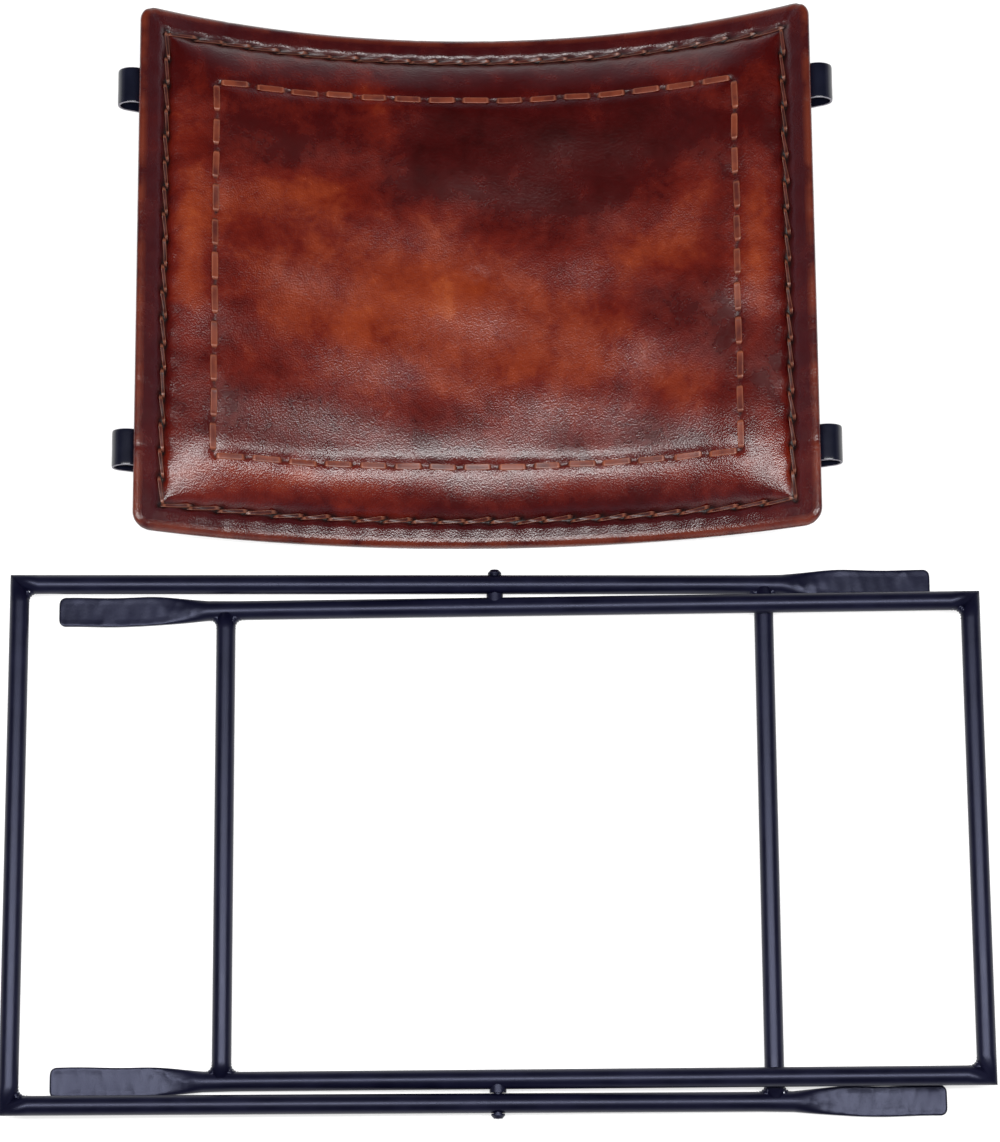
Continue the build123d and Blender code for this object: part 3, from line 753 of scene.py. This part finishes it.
def strap_loops():
    """Flattened rings of strap: two straights between half circles, tilted, their cut edges pale."""
    radius = (LOOP_HEIGHT - LOOP_THICKNESS) / 2
    straight = (LOOP_LENGTH - LOOP_HEIGHT) / 2
    bend = np.linspace(-math.pi / 2, math.pi / 2, 25)
    line = np.linspace(-1, 1, 12)[1:-1]
    path_x = np.concatenate([straight + radius * np.cos(bend), -line * straight,
                             -straight - radius * np.cos(bend), line * straight])
    path_z = np.concatenate([radius * np.sin(bend), np.full(line.size, radius),
                             -radius * np.sin(bend), np.full(line.size, -radius)])
    out_x = np.concatenate([np.cos(bend), 0 * line, -np.cos(bend), 0 * line])
    out_z = np.concatenate([np.sin(bend), 0 * line + 1, -np.sin(bend), 0 * line - 1])
    turn = np.linspace(0, 2 * math.pi, 40, endpoint=False)
    side = boxed(np.cos(turn), 0.16)
    up = boxed(np.sin(turn), 0.5)
    for along in ("front", "back"):
        for turn_x, place in ((-1, "left"), (1, "right")):
            node = f"strap_loop_{along}_{place}"
            low, high = [np.array(corner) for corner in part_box(node)]
            centre = (low + high) / 2
            thick = LOOP_THICKNESS / 2 * (up - 0.08 * np.sign(up) * bell(side, 0.4))
            x = path_x[:, None] + out_x[:, None] * thick[None, :]
            z = path_z[:, None] + out_z[:, None] * thick[None, :]
            y = np.broadcast_to(side * LOOP_WIDTH / 2, x.shape)
            cosine, sine = math.cos(LOOP_TILT), math.sin(LOOP_TILT)
            placed_x = turn_x * (x * cosine - z * sine)
            placed_z = x * sine + z * cosine
            rings = np.stack([placed_x, y, placed_z], -1) + centre
            closed = np.concatenate([rings, rings[:1]])
            edge = np.broadcast_to(step(np.abs(side), 0.972, 0.985), closed.shape[:2])
            make_piece(f"strap_{along}_{place}", closed, quads_of(*closed.shape[:2], True), strap_black,
                       "seat", [node], {"edge": edge})


def lay_frame(points, outer):
    """A frame's own coordinates, with its pivot at zero and its foot at -X, to the model's.

    The inner frame is turned half round, and both are tilted by the fold.
    """
    x, y, z = points[..., 0], points[..., 1], points[..., 2]
    tilt = FOLD_TILT
    if not outer:
        x, y, tilt = -x, -y, -FOLD_TILT
    cosine, sine = math.cos(tilt), math.sin(tilt)
    return np.stack([x * cosine + z * sine, y, z * cosine - x * sine], -1) + pivot


def hammered(u, v, seed):
    """Hammer marks: the deepest of many shallow round dishes, in two staggered rows."""
    shake = np.random.default_rng(seed)
    depth = np.zeros(np.broadcast(u, v).shape)
    for row in (-1, 1):
        for place in np.arange(FLAT_ROOT + HAMMER_START, TIP_REACH, HAMMER_SIZE * 1.15):
            middle_u = place + row * HAMMER_SIZE * 0.3 + shake.normal(0, HAMMER_SHAKE)
            middle_v = row * FLAT_WIDTH * 0.2 + shake.normal(0, HAMMER_SHAKE)
            reach = HAMMER_SIZE * shake.uniform(0.8, 1.15)
            near = ((u - middle_u) / reach) ** 2 + ((v - middle_v) / reach) ** 2
            depth = np.maximum(depth, shake.uniform(0.6, 1.0) * np.clip(1 - near, 0, 1))
    return HAMMER_DEPTH * depth


def rail(name, outer, half_span, side, seed):
    """Bar from its mitred foot to its hammered tip: a round section that widens and thins to a plate."""
    turn = np.linspace(0, 2 * math.pi, 56, endpoint=False)[None, :]
    plain = np.concatenate([[-FOOT_REACH], np.linspace(-FOOT_REACH + 2 * ROD, FLAT_ROOT, 24)])
    tip_turn = np.linspace(0, math.pi / 2, 10)
    flat = np.linspace(FLAT_ROOT, TIP_REACH - TIP_CORNER, 92)[1:]
    u = np.concatenate([plain, flat, TIP_REACH - TIP_CORNER * (1 - np.sin(tip_turn[1:]))])[:, None]
    spread = step(u, FLAT_ROOT - SPREAD_LEAD, FLAT_ROOT + FLAT_SPREAD)
    width = 2 * ROD + (FLAT_WIDTH - 2 * ROD) * spread ** 0.7
    thinning = step(u, FLAT_ROOT - THINNING_LEAD, FLAT_ROOT + THINNING_SHARE * FLAT_SPREAD)
    thick = 2 * ROD + (FLAT_THICKNESS - 2 * ROD) * thinning
    past = np.clip((u - (TIP_REACH - TIP_CORNER)) / TIP_CORNER, 0, 1)
    round_off = TIP_CORNER * (1 - np.sqrt(1 - past ** 2))
    width = width - 2 * round_off
    thick = thick * (1 - 0.45 * past ** 6)
    sharp = 1 - 0.66 * spread
    v = boxed(np.cos(turn), sharp) * width / 2
    w = boxed(np.sin(turn), sharp) * thick / 2
    share = step(u, FLAT_ROOT, FLAT_ROOT + HAMMER_FADE) * (1 - past ** 2)
    marks = np.where(w > 0, hammered(u, v, seed), hammered(u, v, seed + 50))
    w = w - np.sign(w) * marks * share * np.clip(np.abs(w) / (thick / 2), 0, 1) ** 2
    v = v + WANDER * np.sin(u * WANDER_RATE + seed) * spread
    shear = np.where(np.arange(u.size)[:, None] == 0, -side * v, 0)
    points = np.stack([u + shear, side * half_span + v, w], -1)
    points, faces = closed_tube(points)
    body = "outer_frame" if outer else "inner_frame"
    node = name.replace("hammered_", "")
    make_piece(name, lay_frame(points, outer), faces, iron, body, [node])


def cross_piece(name, outer, reach, half_span, mitre, node):
    """Bar along Y at a reach from the pivot; mitre is 1 where its ends meet the rails at 45 degrees."""
    turn = np.linspace(0, 2 * math.pi, 48, endpoint=False)[None, :]
    end = half_span if mitre else half_span - ROD * BUTT_SHARE
    v = np.concatenate([[-end], np.linspace(-half_span + 2 * ROD, half_span - 2 * ROD, 40), [end]])[:, None]
    x = ROD * np.cos(turn) + 0 * v
    z = ROD * np.sin(turn) + 0 * v
    shear = np.zeros_like(x)
    shear[0] = mitre * x[0]
    shear[-1] = -mitre * x[-1]
    points, faces = closed_tube(np.stack([reach + x, v + shear, z], -1))
    body = "outer_frame" if outer else "inner_frame"
    make_piece(name, lay_frame(points, outer), faces, iron, body, [node])


def weld_beads(name, outer, half_span, seed):
    """Concave fillets: a lumpy quarter ring in each corner between two bars."""
    bend = np.linspace(-BEAD_OVERRUN, math.pi / 2 + BEAD_OVERRUN, 26)[:, None]
    turn = np.linspace(0, 2 * math.pi, 20, endpoint=False)[None, :]
    shake = np.random.default_rng(seed)
    shells, faces, start = [], [], 0
    corners = []
    for side in (-1, 1):
        inner = side * (half_span - ROD)
        corners.append((-FOOT_REACH + ROD, inner, 1, -side))
        corners.append((CROSS_REACH - ROD, inner, -1, -side))
        corners.append((CROSS_REACH + ROD, inner, 1, -side))
    for corner_x, corner_y, turn_x, turn_y in corners:
        ripple = BEAD_RIPPLE * np.sin(bend * 17 + shake.uniform(0, 6))
        ripple = ripple + BEAD_LUMPS * np.sin(bend * 31 + 2 * turn)
        half_wide = BEAD_HALF_WIDTH + ripple
        middle = BEAD_LEG + BEAD_HALF_WIDTH
        reach = middle - half_wide * np.cos(turn)
        x = corner_x + turn_x * (BEAD_LEG - reach * np.cos(bend))
        y = corner_y + turn_y * (BEAD_LEG - reach * np.sin(bend))
        z = (BEAD_HALF_HEIGHT + ripple) * np.sin(turn) + 0 * bend
        points, quads = closed_tube(np.stack([x, y, z], -1))
        shells.append(points.reshape(-1, 3))
        faces.append(quads + start)
        start += points.shape[0] * points.shape[1]
    body = "outer_frame" if outer else "inner_frame"
    points = lay_frame(np.concatenate(shells), outer)
    node = name.replace("_welds", "_weld_beads")
    make_piece(name, points, np.concatenate(faces), weld_iron, body, [node])


def dress(node, finish):
    """A CAD node that stays, with its own finish."""
    piece = frame["nodes"][node]
    piece.data.materials.clear()
    piece.data.materials.append(finish)


iron = lacquered_iron()
weld_iron = lacquered_iron("weld_iron", 0.38, 0.15)
pivot_iron = lacquered_iron("pivot_iron", 0.42)
strap_black = strap_leather()

seat_cover()
seat_backing()
dark_thong = thong_leather("outer_thong_leather", (0.014, 0.001, 0.001), (0.055, 0.006, 0.003), 0.34)
lacing("outer_thongs", outer_starts, outer_ends, OUTER_THONG_WIDTH, OUTER_THONG_THICKNESS, OUTER_TIPS,
       dark_thong, "outer_lacing")
tan_thong = thong_leather("inner_thong_leather", (0.05, 0.0035, 0.0012), (0.13, 0.02, 0.004), 0.26)
lacing("inner_thongs", inner_starts, inner_ends, INNER_THONG_WIDTH, INNER_THONG_THICKNESS, INNER_TIPS,
       tan_thong, "inner_lacing")
strap_loops()
for number, place in enumerate(("back", "front")):
    side = 1 - 2 * number
    rail(f"hammered_outer_rail_{place}", True, OUTER_HALF_SPAN, side, 11 + number)
    rail(f"hammered_inner_rail_{place}", False, INNER_HALF_SPAN, -side, 21 + number)
    dress(f"pivot_pin_{place}", pivot_iron)
    dress(f"pivot_collar_{place}", pivot_iron)
for outer, half_span in ((True, OUTER_HALF_SPAN), (False, INNER_HALF_SPAN)):
    word = "outer" if outer else "inner"
    cross_piece(f"{word}_foot", outer, -FOOT_REACH, half_span, 1, f"{word}_foot_bar")
    cross_piece(f"{word}_stretcher", outer, CROSS_REACH, half_span, 0, f"{word}_cross_bar")
    weld_beads(f"{word}_welds", outer, half_span, 7)
dress("seat_board", board_wood())
rivet = rivet_metal()
for node in [node for node in frame["nodes"] if node.startswith("loop_rivet")]:
    dress(node, rivet)


def camera():
    """Photograph's view, from above the frame's front half; the focal length was found in its pixels."""
    photo_height = 1142
    focal_pixels = 3232
    tilt = Matrix.Rotation(math.radians(11.53), 3, "X")
    lean = Matrix.Rotation(math.radians(-0.4), 3, "Z")
    lens = bpy.data.cameras.new("camera")
    lens.sensor_fit = "VERTICAL"
    lens.sensor_height = 24
    lens.lens = focal_pixels / photo_height * lens.sensor_height
    seen = bpy.data.objects.new("camera", lens)
    seen.location = (0.0037, -0.448, 2.1677)
    seen.rotation_euler = (tilt @ lean).to_euler()
    bpy.context.scene.collection.objects.link(seen)
    bpy.context.scene.camera = seen


def softbox(name, place, aim, size_x, size_y, power):
    """Rectangular lamp at a place, aimed at a point, unseen by the camera."""
    lamp = bpy.data.lights.new(name, "AREA")
    lamp.shape = "RECTANGLE"
    lamp.size = size_x
    lamp.size_y = size_y
    lamp.energy = power
    held = bpy.data.objects.new(name, lamp)
    held.location = place
    direction = Vector(aim) - Vector(place)
    held.rotation_euler = direction.to_track_quat("-Z", "Y").to_euler()
    held.visible_camera = False
    bpy.context.scene.collection.objects.link(held)


def studio():
    """White to the camera, and to reflections pale at the horizon and dim overhead.

    The floor is pale, and a long strip of light hangs over the frame.
    """
    white = (1.0, 1.0, 1.0)
    grey = (0.5, 0.5, 0.5)
    sky = Sky("studio")
    ray = sky.node("ShaderNodeLightPath", {}, {}).outputs
    direction = sky.node("ShaderNodeTexCoord", {}, {}).outputs["Generated"]
    up = sky.node("ShaderNodeSeparateXYZ", {}, {0: direction}).outputs[2]
    mirrored = sky.ramp(up, [(0.15, (0.42, 0.42, 0.52)), (0.55, (0.012, 0.012, 0.015))])
    colour = sky.mix(ray["Is Glossy Ray"], grey, mirrored)
    colour = sky.mix(ray["Is Transmission Ray"], colour, white)
    sky.surface(Color=sky.mix(ray["Is Camera Ray"], colour, white), Strength=1.0)

    size = FLOOR_HALF_SIZE
    below = -FLOOR_DROP
    corners = [(-size, -size, below), (size, -size, below), (size, size, below), (-size, size, below)]
    mesh = bpy.data.meshes.new("floor")
    mesh.from_pydata(corners, [], [(0, 1, 2, 3)])
    floor = bpy.data.objects.new("floor", mesh)
    bpy.context.scene.collection.objects.link(floor)
    finish = Finish("floor_paper", Roughness=0.9)
    ray = finish.node("ShaderNodeLightPath", {}, {}).outputs
    camera_ray, glossy_ray, clear_ray = [
        Signal(finish, ray[kind]) for kind in ("Is Camera Ray", "Is Glossy Ray", "Is Transmission Ray")
    ]
    seen = (camera_ray + glossy_ray + clear_ray).within(0, 1)
    finish.surface(
        Base_Color=finish.mix(seen, (0.7, 0.7, 0.7), (0.4, 0.4, 0.4)),
        Emission_Color=(1, 1, 1, 1),
        Emission_Strength=seen * 0.64,
    )
    floor.data.materials.append(finish.material)

    softbox("strip", place=(0.0, -0.24, 1.6), aim=(0.0, 0.05, 0.0), size_x=2.4, size_y=0.24, power=52)


camera()
studio()
bpy.context.scene.view_settings.view_transform = "Standard"
